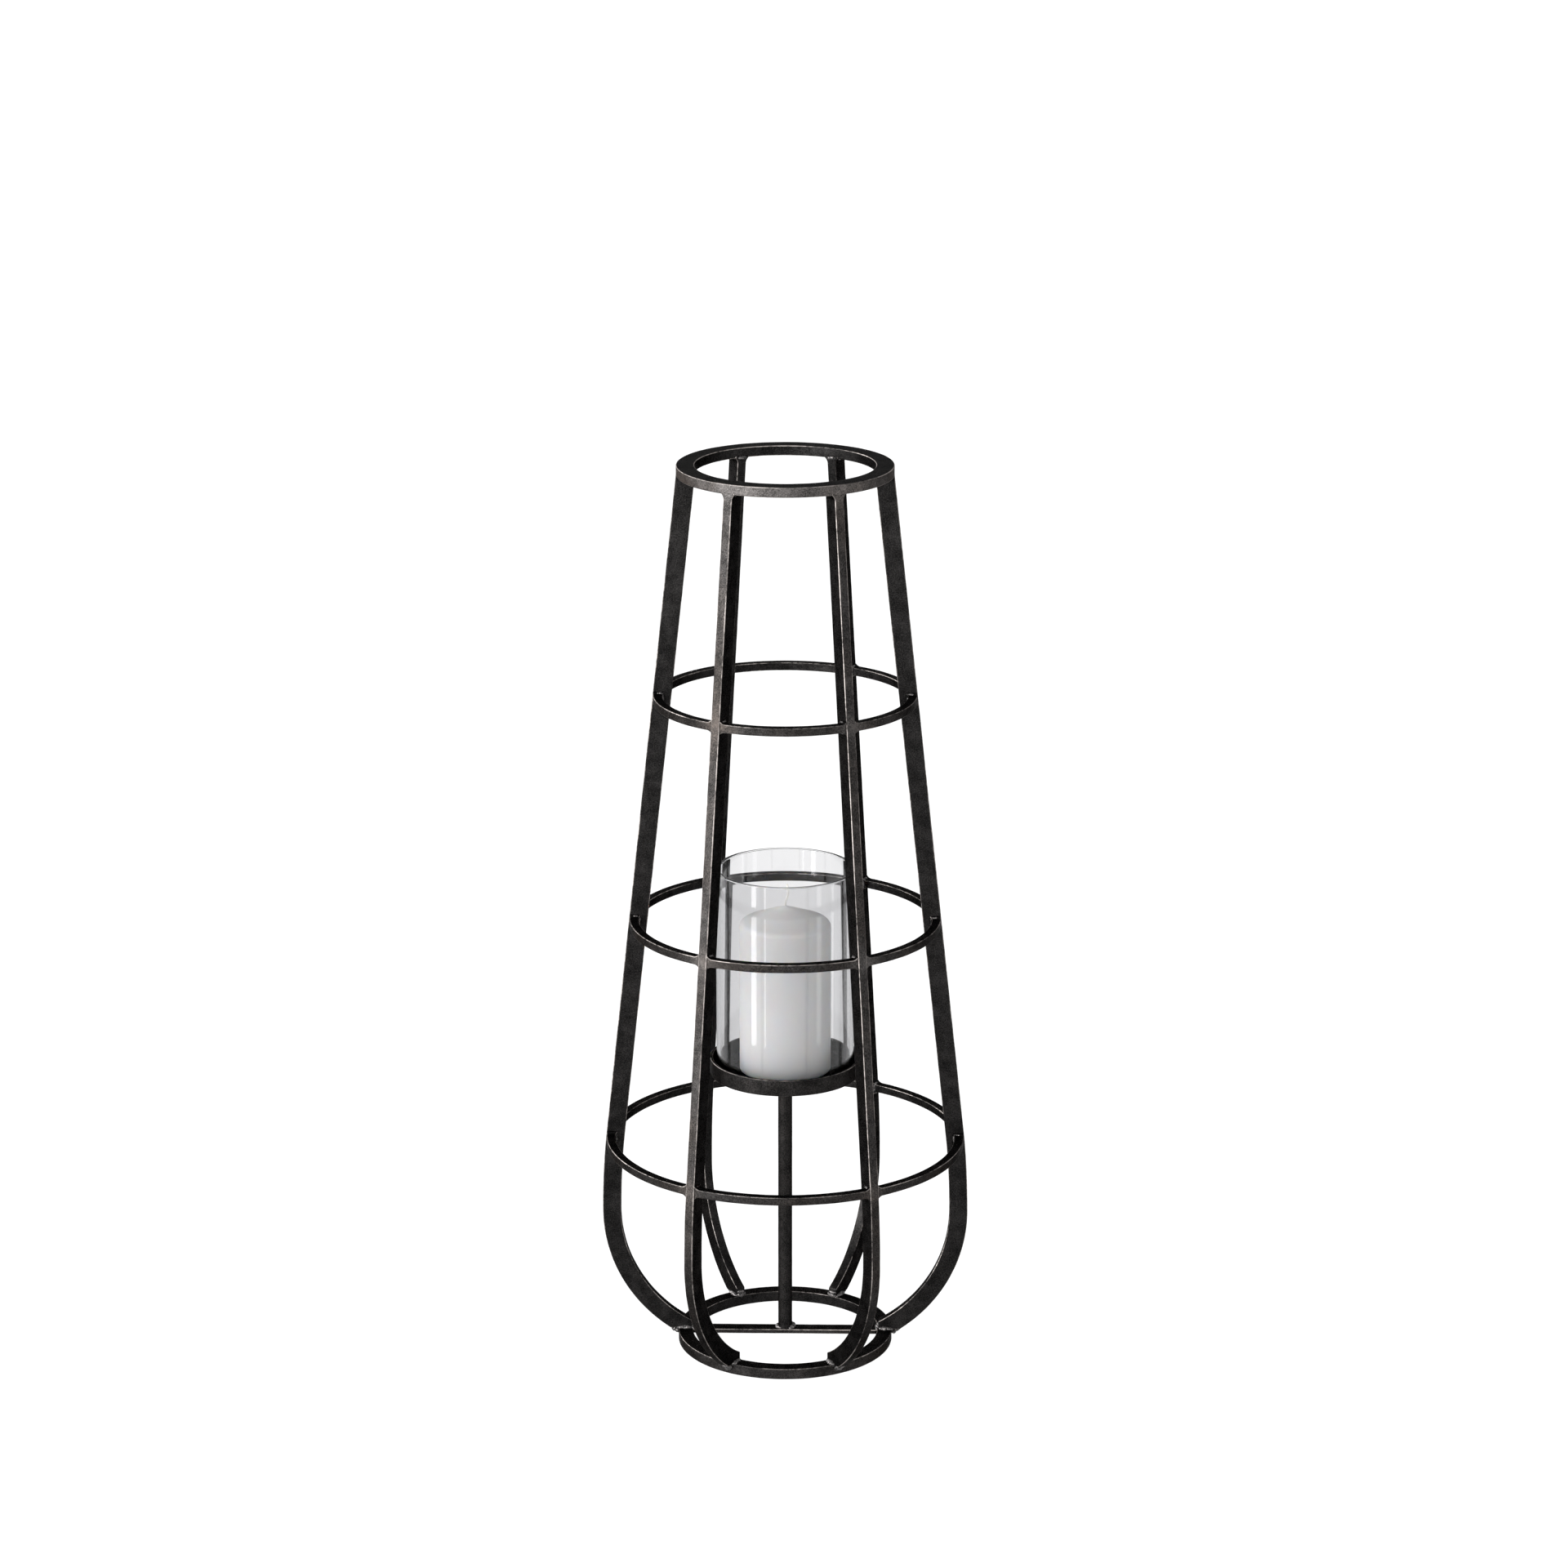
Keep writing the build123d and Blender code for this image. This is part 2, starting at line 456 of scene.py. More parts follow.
def blackened_steel(name, edge_brightness=1.0):
    """Black oxide with a fine speckle of rubbed metal, stronger where the polish attribute is
    high, and bare metal where the wear attribute is."""
    n = Nodes(name)
    wear = n.add("ShaderNodeAttribute", attribute_name="wear").outputs["Fac"]
    polish = n.add("ShaderNodeAttribute", attribute_name="polish").outputs["Fac"]
    grain = n.noise(1050, 3, 0.8)
    patches = n.noise(85, 3, 0.55, 0.3)
    rubbed = n.math("ADD", grain, n.remap(patches, 0.3, 0.7, -0.08, 0.06))
    speckle = n.remap(rubbed, 0.38, 0.72)
    oxide = n.mix(polish, (0.0070, 0.0069, 0.0068), (0.044, 0.0410, 0.0396))
    bare = n.mix(n.remap(n.noise(16, 2, 0.5), 0.44, 0.66), (0.235, 0.219, 0.212), (0.250, 0.204, 0.176))
    fleck = n.mix(polish, (0.052, 0.0490, 0.0482), bare)
    face = n.mix(speckle, oxide, fleck)
    rub = n.math("MULTIPLY", wear, n.remap(n.noise(320, 3, 0.6), 0.35, 0.62, 0.45, 1.0))
    rub = n.math("MULTIPLY", rub, n.remap(n.noise(24, 2, 0.5), 0.35, 0.65, 0.42, 1.15))
    rub = n.remap(rub, 0.16, 0.62, 0.0, edge_brightness)
    n.set(
        Base_Color=n.mix(rub, face, (0.50, 0.455, 0.43)),
        Metallic=1.0,
        Roughness=n.remap(grain, 0.35, 0.65, 0.44, 0.32),
        Specular_Tint=(0.35, 0.35, 0.35),
    )
    fine = n.bump(grain, 0.5, 0.0003)
    n.set(Normal=n.bump(n.noise(190, 3, 0.5), 0.25, 0.0007, fine))
    return n.material


def weld_metal():
    """Weld bead: lumpy, brighter than the bars, with black scale in its hollows."""
    n = Nodes("weld_metal")
    lumps = n.noise(520, 4, 0.6)
    bare = n.remap(lumps, 0.40, 0.62)
    n.set(
        Base_Color=n.mix(bare, (0.010, 0.010, 0.011), (0.24, 0.225, 0.22)),
        Metallic=n.remap(bare, 0.0, 1.0, 0.4, 1.0),
        Roughness=n.remap(n.noise(900, 3), 0.3, 0.7, 0.22, 0.45),
        Normal=n.bump(lumps, 0.7, 0.0006),
    )
    return n.material


GLASS_ABSORPTION = 76.0         # per metre


def clear_glass():
    """Clear glass that is grey where light runs a long way through it."""
    n = Nodes("clear_glass")
    film = n.noise(9, 3, 0.5)
    n.set(
        Base_Color=(1.0, 1.0, 1.0),
        Roughness=n.remap(film, 0.3, 0.7, 0.012, 0.03),
        IOR=1.5,
        Transmission_Weight=1.0,
    )
    absorption = n.add("ShaderNodeVolumeAbsorption")
    absorption.inputs["Color"].default_value = (0.0, 0.0, 0.04, 1.0)
    absorption.inputs["Density"].default_value = GLASS_ABSORPTION
    n.link(absorption.outputs["Volume"], n.tree.nodes["Material Output"].inputs["Volume"])
    return n.material


def candle_wax():
    """White wax, faintly clouded, that lets light soak in."""
    n = Nodes("candle_wax")
    cloud = n.noise(38, 4, 0.55)
    n.set(
        Base_Color=n.mix(cloud, (0.89, 0.885, 0.87), (0.96, 0.955, 0.945)),
        Roughness=n.remap(n.noise(120, 4), 0.3, 0.7, 0.38, 0.5),
        Subsurface_Weight=0.75,
        Subsurface_Radius=(0.012, 0.010, 0.008),
        Subsurface_Scale=0.5,
        Normal=n.bump(n.noise(300, 3), 0.06, 0.0004),
    )
    return n.material


def wick_cotton():
    """Cotton strands with fine twisted fibres."""
    n = Nodes("wick_cotton")
    fibre = n.noise(2600, 3, 0.6, 1.5)
    n.set(
        Base_Color=n.mix(fibre, (0.78, 0.76, 0.71), (0.93, 0.92, 0.89)),
        Roughness=0.75,
        Subsurface_Weight=0.3,
        Subsurface_Radius=(0.002, 0.002, 0.0015),
        Normal=n.bump(fibre, 0.5, 0.0002),
    )
    return n.material


cage_steel = blackened_steel("cage_steel")
dish_steel = blackened_steel("dish_steel", 0.9)
weld_steel = weld_metal()
glass_material = clear_glass()
wax_material = candle_wax()
wick_material = wick_cotton()

# ---- the cage ------------------------------------------------------------------------------------

FULL_TURN = 2 * math.pi
PITCH = FULL_TURN / RIB_COUNT
TOP_RING_POLISH = 1.0           # how far handling has rubbed the oxide off the outer faces
HOOP_POLISH = 0.24
RIB_POLISH = 0.22
ROD_POLISH = 0.08
JOINT_POLISH = 0.35             # added where a joint was ground
TOP_RING_EDGES = 0.9            # how bright the edges are worn
BASE_RING_EDGES = 0.6
HOOP_EDGES = 0.7
RIB_EDGES = 0.62
# The ribs facing the camera get brighter edges: real edge wear raised into a painted highlight.
RIB_EDGES_WITH_PAINTED_HIGHLIGHT = 1.0
PAINTED_HIGHLIGHT_RIBS = (4, 5)              # the two ribs that face the camera, counted from 0, whose edges get a painted highlight
RIM_EDGES = 0.5


def level_ring(name, node, size, width, seed, polish, edges):
    """A ring of flat bar lying level. size is its outer radius, bottom and top."""
    radius, bottom, top = size
    stations = ring_stations(radius, width, bottom, top)
    bar = swept_bar(name, *stations, cage_steel, seed, polish=polish, edges=edges, closed=True)
    return dress(bar, "cage", "cage_steel", node)


level_ring("top_ring_bar", "top_ring", (top_radius, top_bottom, top_top), top_ring_width,
           TOP_RING_SEED, TOP_RING_POLISH, TOP_RING_EDGES)
level_ring("base_ring_bar", "base_ring", (base_radius, 0, base_top), base_ring_width,
           BASE_RING_SEED, HOOP_POLISH, BASE_RING_EDGES)

hoop_levels = []
for level_name in LEVELS:
    low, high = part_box(f"{level_name}_hoop_bar_1")
    radius = rib_edge((low.z + high.z) / 2, 0) - hoop_inset
    hoop_levels.append((level_name, radius, low.z, high.z))

joint_heights = [top_bottom, *((low + high) / 2 for _, _, low, high in hoop_levels)]
for index in range(RIB_COUNT):
    stations = rib_stations(index * PITCH)
    nearest = [min(abs(point[2] - height) for height in joint_heights) for point in stations[0]]
    polish = [RIB_POLISH + JOINT_POLISH * ground(distance) for distance in nearest]
    # The two ribs facing the camera get a painted highlight on top of their edge wear.
    edges = RIB_EDGES_WITH_PAINTED_HIGHLIGHT if index in PAINTED_HIGHLIGHT_RIBS else RIB_EDGES
    name = f"rib_{index + 1}_bar"
    bar = swept_bar(name, *stations, cage_steel, RIB_SEED + index, polish=polish, edges=edges)
    dress(bar, "cage", "cage_steel", f"rib_{index + 1}")

for level, (level_name, radius, bottom, top) in enumerate(hoop_levels):
    half_gap = math.asin(rib_half_thickness / radius)
    for index in range(RIB_COUNT):
        ends = (index * PITCH + half_gap, (index + 1) * PITCH - half_gap)
        stations = hoop_stations(radius, hoop_width, bottom, top, *ends)
        line = stations[0]
        nearest = [min(np.linalg.norm(point - end) for end in (line[0], line[-1])) for point in line]
        polish = [HOOP_POLISH + JOINT_POLISH * ground(distance) for distance in nearest]
        name = f"{level_name}_hoop_{index + 1}"
        seed = HOOP_SEED + RIB_COUNT * level + index
        bar = swept_bar(name, *stations, cage_steel, seed, polish=polish, edges=HOOP_EDGES)
        dress(bar, "cage", "cage_steel", f"{level_name}_hoop_bar_{index + 1}")


def cross_bar_stations():
    """Edge curves of the straight level bar along X."""
    places = np.linspace(bar_low.x, bar_high.x, round((bar_high.x - bar_low.x) / STATION_STEP))
    height = (bar_low.z + bar_high.z) / 2
    outer = [np.array([x, bar_low.y, height]) for x in places]
    inner = [np.array([x, bar_high.y, height]) for x in places]
    return outer, inner, [UP * (bar_high.z - bar_low.z) / 2] * len(places)


cross_bar = swept_bar(
    "cross_bar_strip", *cross_bar_stations(), cage_steel, CROSS_BAR_SEED,
    rounding=THIN_ROUNDING, polish=HOOP_POLISH,
)
dress(cross_bar, "cage", "cage_steel", "cross_bar")

# ---- turned and round pieces ---------------------------------------------------------------------

ON_AXIS = 0.1 * MM              # radius of the tiny faces that close a turned piece at its axis
PROFILE_STEP = 3.0 * MM


def revolved(name, profile, material, segments=144, wobble=0.0, seed=0, closed=False, **attributes):
    """Turn a (radius, height) profile round the axis. It runs down the outward-facing walls.
    wobble is a shallow unevenness."""
    points = []
    for turn in range(segments):
        azimuth = FULL_TURN * turn / segments
        for radius, height in profile:
            p = polar(radius, azimuth, height)
            if wobble and radius > wobble:
                p = p - outwards(azimuth) * wobble * dents(p, seed)
            points.append(p)
    faces = grid_faces(segments, len(profile), True, closed)
    repeated = {key: [value] * len(points) for key, value in attributes.items()}
    return make_object(name, points, faces, material, **repeated)


def arc(cx, cy, radius, first, last, steps):
    """Points along an arc. first and last are angles in degrees."""
    angles = np.radians(np.linspace(first, last, steps + 1))
    return [(cx + radius * math.cos(a), cy + radius * math.sin(a)) for a in angles]


def densified(profile, step):
    """Add points so that no run of the profile is longer than step."""
    dense = [profile[0]]
    for (x0, y0), (x1, y1) in zip(profile, profile[1:]):
        count = max(1, math.ceil(math.hypot(x1 - x0, y1 - y0) / step))
        dense += [(x0 + (x1 - x0) * k / count, y0 + (y1 - y0) * k / count) for k in range(1, count + 1)]
    return dense


rod_profile = densified([(rod_radius, rod_top), (rod_radius, rod_bottom)], PROFILE_STEP)
rod = revolved(
    "centre_rod_bar", rod_profile, cage_steel, segments=36, wobble=FACE_DENTS, seed=ROD_SEED,
    polish=ROD_POLISH,
)
dress(rod, "cage", "cage_steel", "centre_rod")

plate_profile = densified([(ON_AXIS, dish_floor), (dish_bore, dish_floor)], PROFILE_STEP)
plate_profile += densified([(dish_bore, dish_bottom), (ON_AXIS, dish_bottom)], PROFILE_STEP)
plate = revolved("dish_plate_disc", plate_profile, dish_steel, segments=96)
dress(plate, "cage", "dish_steel", "dish_plate")

rim = swept_bar(
    "dish_rim_strip", *ring_stations(dish_radius, dish_radius - dish_bore, dish_bottom, rim_top),
    dish_steel, RIM_SEED, rounding=THIN_ROUNDING, polish=ROD_POLISH, edges=RIM_EDGES, closed=True,
)
dress(rim, "cage", "dish_steel", "dish_rim")

# ---- glass, candle and wick ----------------------------------------------------------------------

WAX_UNEVENNESS = 0.25 * MM
lip = glass_wall / 2
lip_band = 0.4 * MM             # keeps the smooth shading of the lips off the straight walls
glass_step = 12 * MM
upper_lip = arc(glass_radius - lip, glass_top - lip, lip, 180, 0, 12)
lower_lip = arc(glass_radius - lip, glass_bottom + lip, lip, 0, -180, 12)
wall_top, wall_bottom = glass_top - lip - lip_band, glass_bottom + lip + lip_band
glass_profile = [
    (glass_radius - glass_wall, wall_top), *upper_lip,
    *densified([(glass_radius, wall_top), (glass_radius, wall_bottom)], glass_step),
    *lower_lip, (glass_radius - glass_wall, wall_bottom),
]
glass = revolved("glass_tube", glass_profile, glass_material, segments=160, closed=True)
dress(glass, "glass", "clear_glass", "glass_cylinder")


def candle_outline():
    """Half outline from the middle of the base to the apex."""
    slope = math.atan2(candle_apex - candle_shoulder, candle_radius)
    turn = math.pi / 2 - slope
    setback = candle_shoulder_rounding * math.tan(turn / 2)
    base = arc(candle_radius - candle_base_rounding, candle_bottom + candle_base_rounding,
               candle_base_rounding, -90, 0, 5)
    shoulder = arc(candle_radius - candle_shoulder_rounding, candle_shoulder - setback,
                   candle_shoulder_rounding, 0, math.degrees(turn), 10)
    return [(ON_AXIS, candle_bottom), *base, *shoulder, (ON_AXIS, candle_apex)]


candle_profile = densified(candle_outline(), PROFILE_STEP)[::-1]
candle = revolved(
    "candle_body", candle_profile, wax_material, wobble=WAX_UNEVENNESS, seed=CANDLE_SEED)
dress(candle, "candle", "candle_wax", "pillar_candle")

WICK_BEND_RADIUS = 16.0 * MM
WICK_LEAN = math.radians(22)        # leans towards +X, then swings back past upright
WICK_SWING_BACK = math.radians(33)
WICK_TIP = 2.5 * MM
WICK_BURIED = 3.0 * MM
WICK_STEP = 0.35 * MM
STRANDS = 3
STRAND_SIDES = 10
TIP_START = 0.93                # share of the wick's length where its strands begin to thin
TIP_THINNING = 0.45
STRAND_RADIUS = 0.56 * MM
STRAND_PITCH = 5.0 * MM


def wick_line():
    """Points up the middle of the wick, from inside the wax to its tip, with their headings."""
    x, z, heading = 0.0, candle_apex - WICK_BURIED, 0.0
    stages = [(WICK_BURIED, 0.0), (WICK_BEND_RADIUS * WICK_LEAN, 1.0),
              (WICK_BEND_RADIUS * WICK_SWING_BACK, -1.0), (WICK_TIP, 0.0)]
    line = [(x, z, heading)]
    for length, turning in stages:
        count = round(length / WICK_STEP)
        for _ in range(count):
            heading += turning * length / count / WICK_BEND_RADIUS
            x += math.sin(heading) * length / count
            z += math.cos(heading) * length / count
            line.append((x, z, heading))
    return line


def braided_wick():
    """Twisted strands that thin out at the tip."""
    line = wick_line()
    points, faces = [], []
    rows, sides = len(line), STRAND_SIDES
    for strand in range(STRANDS):
        first = len(points)
        for k, (x, z, heading) in enumerate(line):
            travel = k / (rows - 1)
            side = np.array([math.cos(heading), 0, -math.sin(heading)])
            back = np.array([0.0, 1.0, 0.0])
            turn = FULL_TURN * (k * WICK_STEP / STRAND_PITCH + strand / STRANDS)
            spread = wick_radius - STRAND_RADIUS
            centre = np.array([x, 0, z]) + spread * (side * math.cos(turn) + back * math.sin(turn))
            tip = max(0.0, travel - TIP_START) / (1 - TIP_START)
            thickness = STRAND_RADIUS * (1.0 - TIP_THINNING * tip)
            for corner in range(sides):
                angle = FULL_TURN * corner / sides
                points.append(centre + thickness * (side * math.cos(angle) + back * math.sin(angle)))
        faces += [tuple(first + v for v in reversed(f)) for f in grid_faces(rows, sides, False, True)]
        faces.append(tuple(first + v for v in reversed(range(sides))))
        faces.append(tuple(first + (rows - 1) * sides + v for v in range(sides)))
    return make_object("wick_braid", points, faces, wick_material)


dress(braided_wick(), "candle", "wick_cotton", "candle_wick")

# ---- welds ---------------------------------------------------------------------------------------

BEAD_SIDES = 10
BEAD_STEP = 0.6 * MM
SMOOTHING_PASSES = 3            # these ease the corners of a bead's path
RIPPLE = 2.1 * MM               # spacing of the drops in a bead
RIPPLE_HOLLOW = 0.86            # a bead's size between two drops, as a share of its radius
RIPPLE_SHARE = 0.2              # and how much larger it is at each drop
LUMP_SCALE = 420                # cycles per metre of the lumps round a bead and blobs along it
BLOB_SCALE = 170
LUMP_SHARE = 0.42               # and their height, as shares of its radius
BLOB_SHARE = 0.40
END_SIZE = 0.06                 # square of a bead's relative size at its ends
END_GROWTH = 0.7                # and how fast that grows, for each radius travelled
SINK = 0.3 * MM                 # small offset of a bead from the faces that it joins
TOP_BEAD = 1.7 * MM             # radii of the beads beside a rib's top end and inside it
TOP_INNER_BEAD = 1.6 * MM
HOOP_BEAD = 1.3 * MM
FOOT_SIDE_BEAD = 2.3 * MM
CROSS_BAR_BEAD = 1.4 * MM
ROD_FOOT_BEAD = 2.3 * MM
ROD_HEAD_BEAD = 1.8 * MM


class Welds:
    """Collects weld beads into one piece."""

    def __init__(self, name):
        self.name, self.points, self.faces = name, [], []

    def bead(self, path, radius):
        """A lumpy bead through the points of path."""
        line = [np.asarray(path[0], float)]
        for a, b in zip(path, path[1:]):
            a, b = np.asarray(a, float), np.asarray(b, float)
            count = max(2, math.ceil(np.linalg.norm(b - a) / BEAD_STEP))
            line += [a + (b - a) * k / count for k in range(1, count + 1)]
        line = np.array(line)
        for _ in range(SMOOTHING_PASSES):
            line[1:-1] = (line[:-2] + 2 * line[1:-1] + line[2:]) / 4
        first, rows = len(self.points), len(line)
        travelled = 0.0
        for k, p in enumerate(line):
            ahead = line[min(k + 1, rows - 1)] - line[max(k - 1, 0)]
            ahead /= np.linalg.norm(ahead)
            across = np.cross(ahead, UP if abs(ahead @ UP) < 0.8 else np.array([1.0, 0, 0]))
            across /= np.linalg.norm(across)
            other = np.cross(across, ahead)
            end = min(k, rows - 1 - k) * BEAD_STEP / radius
            fullness = math.sqrt(min(1.0, end * END_GROWTH + END_SIZE))
            ripple = RIPPLE_HOLLOW + RIPPLE_SHARE * abs(math.sin(math.pi * travelled / RIPPLE))
            for corner in range(BEAD_SIDES):
                angle = FULL_TURN * corner / BEAD_SIDES
                spoke = across * math.cos(angle) + other * math.sin(angle)
                lump = noise.noise(Vector(p + spoke * radius) * LUMP_SCALE)
                blob = noise.noise(Vector(p) * BLOB_SCALE)
                size = radius * fullness * (ripple + LUMP_SHARE * lump + BLOB_SHARE * blob)
                self.points.append(p + spoke * size)
            if k:
                travelled += np.linalg.norm(p - line[k - 1])
        loops = grid_faces(rows, BEAD_SIDES, False, True)
        last = first + (rows - 1) * BEAD_SIDES
        self.faces += [tuple(first + v for v in reversed(f)) for f in loops]
        self.faces.append(tuple(first + v for v in range(BEAD_SIDES)))
        self.faces.append(tuple(last + v for v in reversed(range(BEAD_SIDES))))

    def finish(self):
        made = make_object(self.name, self.points, self.faces, weld_steel)
        return dress(made, "cage", "cage_steel")


def at_rib(azimuth, radius, side, height):
    """Point beside a rib: side is its distance from the rib's middle plane."""
    return outwards(azimuth) * radius + sideways(azimuth) * side + UP * height


top_welds = Welds("welds_top_ring")
for index in range(RIB_COUNT):
    azimuth = index * PITCH
    inner = rib_edge(top_bottom, rib_width)
    for side in (-rib_half_thickness, rib_half_thickness):
        top_welds.bead([at_rib(azimuth, top_radius - 2.2 * MM, side, top_bottom),
                        at_rib(azimuth, inner + 1.5 * MM, side, top_bottom)], TOP_BEAD)
    ends = [at_rib(azimuth, inner, s * rib_half_thickness, top_bottom + SINK) for s in (-1, 1)]
    top_welds.bead(ends, TOP_INNER_BEAD)
top_welds.finish()

for level_name, radius, bottom, top in hoop_levels:
    welds = Welds(f"welds_{level_name}_hoop")
    for index in range(RIB_COUNT):
        for side in (-1, 1):
            lateral = side * (rib_half_thickness + SINK)
            start, corner = radius - 2.5 * MM, radius - hoop_width - 0.4 * MM
            turns = [(start, top + SINK), (corner, top + SINK),
                     (corner, bottom - SINK), (start, bottom - SINK)]
            welds.bead([at_rib(index * PITCH, r, lateral, height) for r, height in turns], HOOP_BEAD)
    welds.finish()

# Beads across each foot: distance from the axis, height above the ring's top face, radius.
FOOT_BEADS = [
    (toe_radius - 0.6 * MM, 0.8 * MM, 2.6 * MM),
    (toe_radius - 0.2 * MM, 3.4 * MM, 1.4 * MM),
    (base_radius + 1.2 * MM, -2.8 * MM, 2.8 * MM),
    (base_radius + 3.6 * MM, -1.3 * MM, 2.3 * MM),
    (base_radius + 5.6 * MM, -0.4 * MM, 1.5 * MM),
]
foot_welds = Welds("welds_feet")
half_bead = rib_half_thickness - 0.5 * MM
for index in range(RIB_COUNT):
    azimuth = index * PITCH
    for side in (-rib_half_thickness, rib_half_thickness):
        inner_end = at_rib(azimuth, toe_radius - 0.5 * MM, side, base_top + 0.2 * MM)
        outer_end = at_rib(azimuth, base_radius + 1.5 * MM, side, base_top + 0.2 * MM)
        foot_welds.bead([inner_end, outer_end], FOOT_SIDE_BEAD)
    for radius, height, size in FOOT_BEADS:
        ends = [at_rib(azimuth, radius, s * half_bead, base_top + height) for s in (-1, 1)]
        foot_welds.bead(ends, size)
foot_welds.finish()

cross_bar_welds = Welds("welds_cross_bar")
rod_foot_angles = [math.radians(a) for a in (-62, -30, 0, 30, 62)]
for side in (-1, 1):
    end = side * (bar_high.x - 0.2 * MM)
    cross_bar_welds.bead([(end, y, bar_high.z) for y in (bar_low.y, bar_high.y)], CROSS_BAR_BEAD)
    along, across = side * (rod_radius + 1.0 * MM), 0.8 * (rod_radius + 0.6 * MM)
    rod_foot = [(along * math.cos(a), across * math.sin(a), bar_high.z + 0.6 * MM)
                for a in rod_foot_angles]
    cross_bar_welds.bead(rod_foot, ROD_FOOT_BEAD)
cross_bar_welds.finish()

rod_welds = Welds("welds_dish")
rod_head_angles = [math.radians(a) for a in range(0, 370, 15)]
rod_head = [polar(rod_radius + 0.4 * MM, a, dish_bottom - 0.5 * MM) for a in rod_head_angles]
rod_welds.bead(rod_head, ROD_HEAD_BEAD)
rod_welds.finish()

# ---- floor, lights and camera --------------------------------------------------------------------

FLOOR_REACH = 60.0              # metres from the axis to each edge
FLOOR_GLOW = 0.93               # strength of its emission


def pale_floor():
    """White studio floor. It glows a little, so that shadows on it stay faint, and is left out
    of glossy reflections, so that the steel stays dark."""
    n = Nodes("pale_floor")
    n.set(
        Base_Color=(0.2, 0.2, 0.2), Roughness=0.9, Specular_IOR_Level=0.0,
        Emission_Color=(1.0, 1.0, 1.0), Emission_Strength=FLOOR_GLOW,
    )
    size = FLOOR_REACH
    corners = [(-size, -size, 0), (size, -size, 0), (size, size, 0), (-size, size, 0)]
    floor = make_object("floor", corners, [(0, 1, 2, 3)], n.material)
    floor.visible_glossy = False


CAMERA_AZIMUTH = math.radians(1.1)  # the camera stands a little to the right of the -Y side
WORLD_DIM = 0.5                 # strength of the dim floor, ceiling and right side
WORLD_BRIGHT = 6.0              # strength of the wall on the left
BRIGHT_SIDE = (-0.92, -0.40, 0.0)   # direction of the brightest wall
BRIGHT_SPREAD = (-0.45, 1.0)    # cosines from that side between which the walls brighten
WALL_FOOT = (-0.16, 0.10)       # heights in the sky, as shares of straight up, where the lit
WALL_HEAD = (0.20, 0.75)        # walls fade in and out again


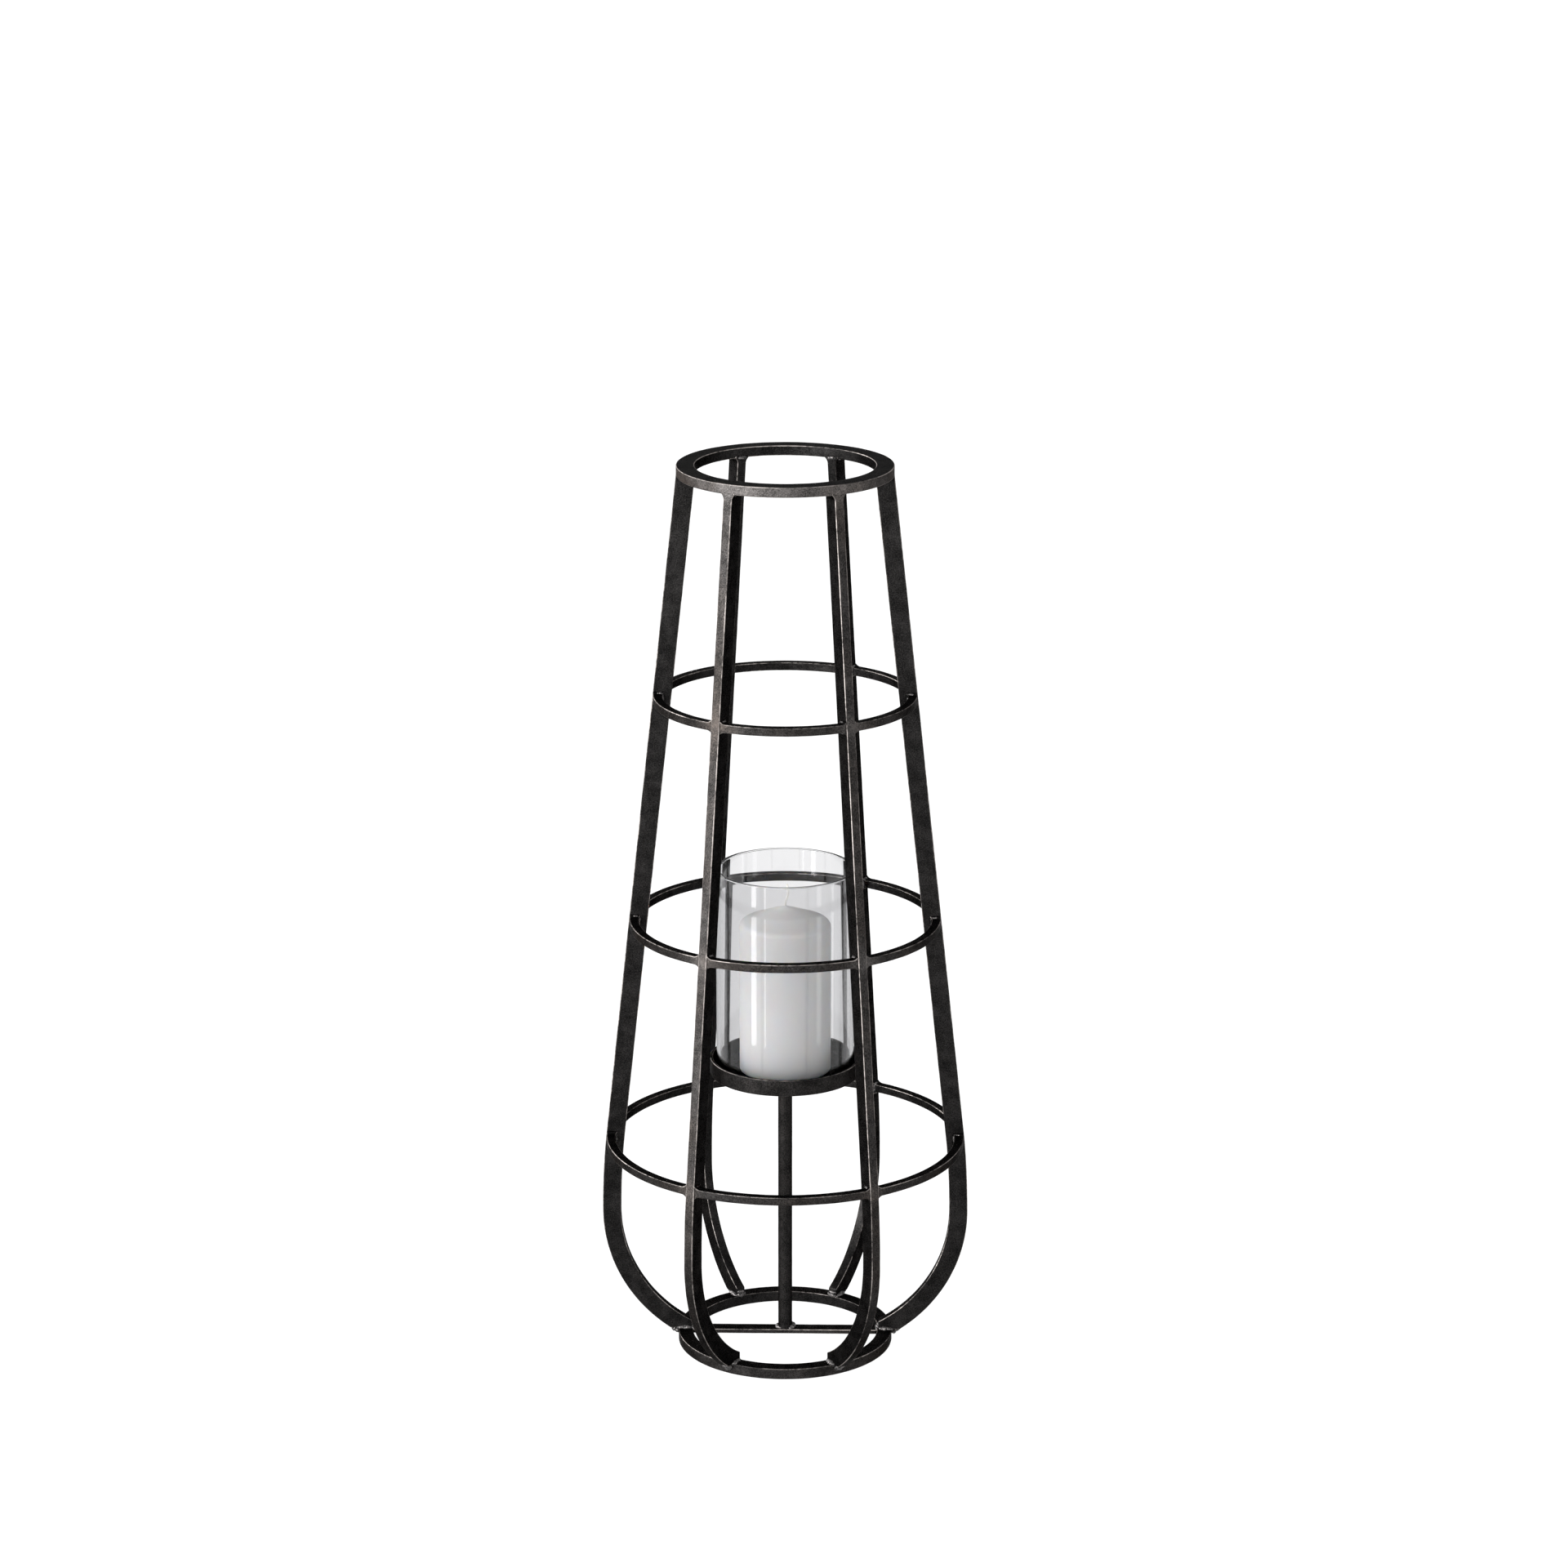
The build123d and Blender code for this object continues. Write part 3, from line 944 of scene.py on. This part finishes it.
def studio_world():
    """Soft light from walls all round, brightest on the left, with a dim floor and ceiling."""
    world = bpy.data.worlds.new("studio")
    bpy.context.scene.world = world
    world.use_nodes = True
    tree = world.node_tree

    def ramp(value, low, high, to_low=0.0, to_high=1.0, kind="SMOOTHSTEP"):
        node = tree.nodes.new("ShaderNodeMapRange")
        node.interpolation_type = kind
        tree.links.new(value, node.inputs["Value"])
        limits = {"From Min": low, "From Max": high, "To Min": to_low, "To Max": to_high}
        for socket, number in limits.items():
            node.inputs[socket].default_value = number
        return node.outputs["Result"]

    def times(first, second):
        node = tree.nodes.new("ShaderNodeMath")
        node.operation = "MULTIPLY"
        tree.links.new(first, node.inputs[0])
        tree.links.new(second, node.inputs[1])
        return node.outputs[0]

    direction = tree.nodes.new("ShaderNodeTexCoord").outputs["Generated"]
    facing = tree.nodes.new("ShaderNodeVectorMath")
    facing.operation = "DOT_PRODUCT"
    facing.inputs[1].default_value = Vector(BRIGHT_SIDE).normalized()
    tree.links.new(direction, facing.inputs[0])
    split = tree.nodes.new("ShaderNodeSeparateXYZ")
    tree.links.new(direction, split.inputs[0])
    height = split.outputs["Z"]
    walls = times(ramp(height, *WALL_FOOT), ramp(height, *WALL_HEAD, 1.0, 0.0))
    lit = times(walls, ramp(facing.outputs["Value"], *BRIGHT_SPREAD))
    strength = ramp(lit, 0.0, 1.0, WORLD_DIM, WORLD_BRIGHT, "LINEAR")
    tree.links.new(strength, tree.nodes["Background"].inputs["Strength"])
    tree.nodes["Background"].inputs["Color"].default_value = (1.0, 1.0, 1.0, 1.0)


SOFTBOX_DISTANCE = 0.85
SOFTBOX_HEIGHT = 1.2
POWER_PER_AREA = 4.0            # watts for each square metre of a panel, at a brightness of 1


def softbox(name, azimuth, width, brightness):
    """Upright light panel that stands on the floor and faces the axis. azimuth is in degrees
    from the camera's side, growing to the camera's right."""
    panel = bpy.data.lights.new(name, "AREA")
    panel.shape = "RECTANGLE"
    panel.size = width
    panel.size_y = SOFTBOX_HEIGHT
    panel.energy = POWER_PER_AREA * width * SOFTBOX_HEIGHT * brightness
    lamp = bpy.data.objects.new(name, panel)
    bpy.context.scene.collection.objects.link(lamp)
    turn = math.radians(azimuth) + CAMERA_AZIMUTH
    lamp.location = (
        SOFTBOX_DISTANCE * math.sin(turn), -SOFTBOX_DISTANCE * math.cos(turn), SOFTBOX_HEIGHT / 2)
    lamp.rotation_euler = (math.pi / 2, 0, turn)
    lamp.visible_camera = False


pale_floor()
studio_world()
softbox("key_softbox", -52.5, 0.12, 4.0)
softbox("narrow_softbox", -33.0, 0.035, 2.6)
softbox("right_softbox", 57.0, 0.12, 1.2)
softbox("edge_softbox", 84.0, 0.04, 2.0)

CAMERA_DISTANCE = 3.606         # along the floor, from the axis
CAMERA_HEIGHT = 1.532
CAMERA_PITCH = math.radians(16.10)
CAMERA_SIDE_STEP = -0.001       # towards +X
CAMERA_LENS = 104.6
SENSOR_WIDTH = 36.0
camera_data = bpy.data.cameras.new("camera")
camera_data.lens = CAMERA_LENS
camera_data.sensor_width = SENSOR_WIDTH
camera = bpy.data.objects.new("camera", camera_data)
bpy.context.scene.collection.objects.link(camera)
camera.location = (
    CAMERA_DISTANCE * math.sin(CAMERA_AZIMUTH) + CAMERA_SIDE_STEP,
    -CAMERA_DISTANCE * math.cos(CAMERA_AZIMUTH),
    CAMERA_HEIGHT,
)
camera.rotation_euler = (math.pi / 2 - CAMERA_PITCH, 0, CAMERA_AZIMUTH)
bpy.context.scene.camera = camera
bpy.context.scene.view_settings.view_transform = "Standard"
